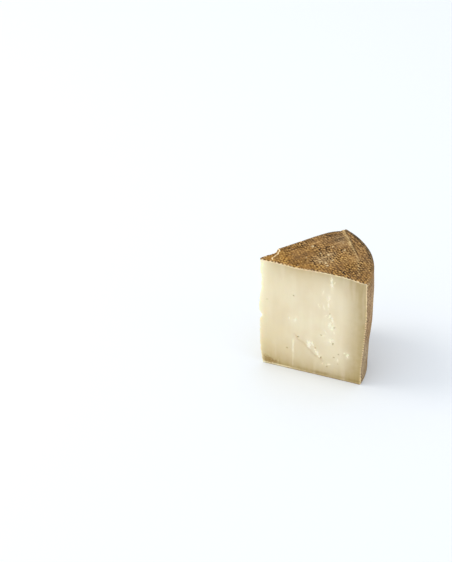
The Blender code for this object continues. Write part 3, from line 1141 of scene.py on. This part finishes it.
def paste_edges(g):
    """A cream line, brown skin and the threads' dots where a cut ends at the rind, and painted contact
    shade along the foot.
    """
    patchy = g.noise(0.22, 3, 0.65)
    near_foot = g.middle * 0.9 + g.foot
    foot_cream = near_foot.ramp(2.55, 1.85) * patchy.ramp(0.36, 0.56, 0.35, 1)
    foot_cream = foot_cream * g.along.ramp(54, 20, 0.12, 1)
    top_cream = (g.middle * 1.1 + g.top).ramp(1.95, 1.3) * patchy.ramp(0.38, 0.54, 0.4, 1)
    g.coat(g.math("MAXIMUM", foot_cream, top_cream), 255, 240, 200)
    g.coat((g.noise(0.45, 2, 0.6) * 1.4 + g.side).ramp(2.1, 1.5, 0, 0.8), 248, 221, 172)
    edge = g.math("MINIMUM", g.math("MINIMUM", g.side, g.foot), g.top)
    skin = (g.middle * 0.9 + edge).ramp(0.72, 0.42)
    # The brown band is wider along the foot: painted contact shade where the cut meets the floor
    g.coat(g.math("MAXIMUM", skin, near_foot.ramp(1.25, 0.8)) * 0.85, 146, 106, 58)
    turns = g.up * (math.tau / THREAD_DOT_PITCH) + g.middle * 7
    dots = (g.math("SINE", turns) + g.fine * 2.6 + g.side * -0.5).ramp(0.7, 1.4)
    dotted = g.up.ramp(5, 10) * g.up.ramp(72, 56) * g.side.ramp(1.6, 0.9, 0, 0.85)
    dotted = dotted * g.other.ramp(50, 100, 1, 0.5)
    g.cover(dotted, g.mix(dots, tone(240, 212, 162), tone(96, 70, 40)))


def paste_point(g):
    """Amber and rosy paste near the wedge's point, and a painted glow where light shines through the thin
    point.
    """
    g.coat(g.along.near(18) * g.up.ramp(58, 14, 0, 0.4), 234, 212, 146)
    g.tint(1, 0.936, 0.936, 0.934)
    warm = g.math("MAXIMUM", g.top.near(22) * g.along.ramp(80, 30), g.along.near(24))
    g.tint(warm, 1, 0.955, 0.885)
    # Painted glow: the thin point and its top corner are paler, as if lit through from behind
    point_glow = g.along.near(5) * g.up.ramp(15, 80, 0.57, 0.95)
    g.coat(point_glow + g.top.near(12) * g.along.near(9) * 0.76, 255, 248, 214)
    band = g.noise(1, 2, 0.5, g.stretched(g.cut, 0.11, 0.014, 1))
    g.coat(band.ramp(0.36, 0.5, 0.12, 0), 222, 204, 162)
    g.coat(band.ramp(0.52, 0.68, 0, 0.16), 250, 240, 216)
    g.coat(g.along.near(12) * g.top.near(1.6) * 0.7, 236, 190, 148)


def paste_stain(g):
    """The brown stain that lies near the point's foot on the front cut."""
    across = g.along + (g.noise(0.3, 2, 0.6, g.cut) * 9 - 4.5)
    height = g.up + (g.noise(0.6, 3, 0.7, g.cut) * 8 - 4)
    share = across.ramp(-0.5, 4.5) * across.ramp(21, 12) * height.ramp(1, 2.4)
    share = share * (across * 0.25 + height).ramp(11.5, 6.5)
    share = share * g.noise(0.9, 2, 0.6, g.cut).ramp(0.36, 0.56, 0.5, 1)
    g.coat(share * g.other.ramp(100, 50, 0, 0.95), 154, 122, 64)


def make_paste():
    """Ivory paste with torn flecks and a stain at the point's foot."""
    g = Graph("paste")
    g.side, g.foot, g.top = g.parts(g.stored("paste_depth"))
    torn, painted_shade, line = g.parts(g.stored("paste_mark"))
    g.cut = g.stored("paste_place")
    g.along, g.up, g.other = g.parts(g.cut)
    g.middle = g.noise(0.2, 3, 0.55)
    g.fine = g.noise(1.6, 3, 0.6)
    drag = g.noise(1, 3, 0.6, g.stretched(g.cut, 0.4, 0.03, 1))
    paste_dryness_and_shade(g)
    paste_edges(g)
    paste_point(g)
    g.coat(drag.ramp(0.3, 0.7, 0, 0.10), 222, 206, 170)
    g.coat(g.fine.ramp(0.35, 0.7, 0, 0.08), 205, 188, 150)
    paste_stain(g)
    flaked = (torn * (g.fine + 0.5)).ramp(0.25, 0.8) * g.other.ramp(50, 100, 1, 0.6)
    g.coat(line, 255, 246, 220)
    g.coat(flaked * 0.88, 255, 244, 216)
    # Painted shade in the crease and down the pinholes
    g.coat(painted_shade * 0.28, 176, 136, 66)
    return g.finish({
        "Roughness": flaked * 0.3 + g.middle.ramp(0.3, 0.7, 0.42, 0.55),
        "Specular IOR Level": 0.35,
        "Subsurface Weight": 0.5,
        "Subsurface Radius": (1, 0.75, 0.42),
        "Subsurface Scale": 0.0022,
        "Normal": g.bump(g.fine, 0.2, 0.0002, Normal=g.bump(drag, 0.12, 0.0003)),
    })


# ---- floor, light and camera


FLOOR_COLOUR = (0.825, 0.852, 0.876, 1)
FLOOR_RADIUS = 12
SKY_COLOUR = (0.92, 0.955, 1, 1)
SKY_STRENGTH = 1.06
# The lights: name, azimuth, elevation, distance, size, power, colour
LIGHTS = (
    ("key", -108, 46, 1.7, 0.9, 8.1, (1, 0.93, 0.82)),
    ("fill", 55, 25, 2.4, 1.6, 3.35, (0.94, 0.98, 1)),
)
LIGHT_AIM = (0, 0, 0.05)
CAMERA_AZIMUTH = -6.6
CAMERA_ELEVATION = 30.9
CAMERA_DISTANCE = 2.031
CAMERA_LENS = 140.9
SENSOR_WIDTH = 36
# The camera looks past the wedge, at a spot on the floor left of it and behind it
AIM_FROM_AXIS = (-0.0161, 0.1401)


def make_floor():
    """A plain, pale, matt floor that runs out of sight."""
    mesh = bpy.data.meshes.new("floor")
    bm = bmesh.new()
    bmesh.ops.create_circle(bm, cap_ends=True, segments=64, radius=FLOOR_RADIUS)
    bm.to_mesh(mesh)
    bm.free()
    floor = add_object("floor", mesh)
    g = Graph("floor")
    g.colour = FLOOR_COLOUR
    mesh.materials.append(g.finish({"Roughness": 0.6, "Specular IOR Level": 0.2}))


def aim(thing, target, azimuth, elevation, distance):
    """Looks at a target from an azimuth where 0 is -Y and 90 is +X."""
    a, e = math.radians(azimuth), math.radians(elevation)
    out = Vector((math.sin(a) * math.cos(e), -math.cos(a) * math.cos(e), math.sin(e)))
    thing.location = Vector(target) + out * distance
    thing.rotation_euler = out.to_track_quat("Z", "Y").to_euler()


def make_lights():
    """A pale studio: an even sky, a soft key from the back left and a weak fill from the right."""
    scene = bpy.context.scene
    scene.view_settings.view_transform = "Standard"
    scene.world = bpy.data.worlds.new("studio")
    scene.world.use_nodes = True
    sky = scene.world.node_tree.nodes["Background"]
    sky.inputs["Color"].default_value = SKY_COLOUR
    sky.inputs["Strength"].default_value = SKY_STRENGTH
    for name, azimuth, elevation, distance, size, power, colour in LIGHTS:
        data = bpy.data.lights.new(name, "AREA")
        data.shape = "SQUARE"
        data.size, data.energy, data.color = size, power, colour
        aim(add_object(name, data), LIGHT_AIM, azimuth, elevation, distance)


def make_camera(middle):
    """A long lens that looks down on the wedge from the front."""
    data = bpy.data.cameras.new("camera")
    data.lens = CAMERA_LENS
    data.sensor_width = SENSOR_WIDTH
    data.clip_end = 50
    camera = add_object("camera", data)
    target = (AIM_FROM_AXIS[0] - middle[0] * MM, AIM_FROM_AXIS[1] - middle[1] * MM, 0)
    aim(camera, target, CAMERA_AZIMUTH, CAMERA_ELEVATION, CAMERA_DISTANCE)
    bpy.context.scene.camera = camera


# ---- the scene

piece, centre = make_wedge(make_rind(), make_paste())
cut_eyes(piece, centre)
sharpen(piece)
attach(piece, "root")
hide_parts("cheese_wedge")
make_floor()
make_lights()
make_camera(centre)
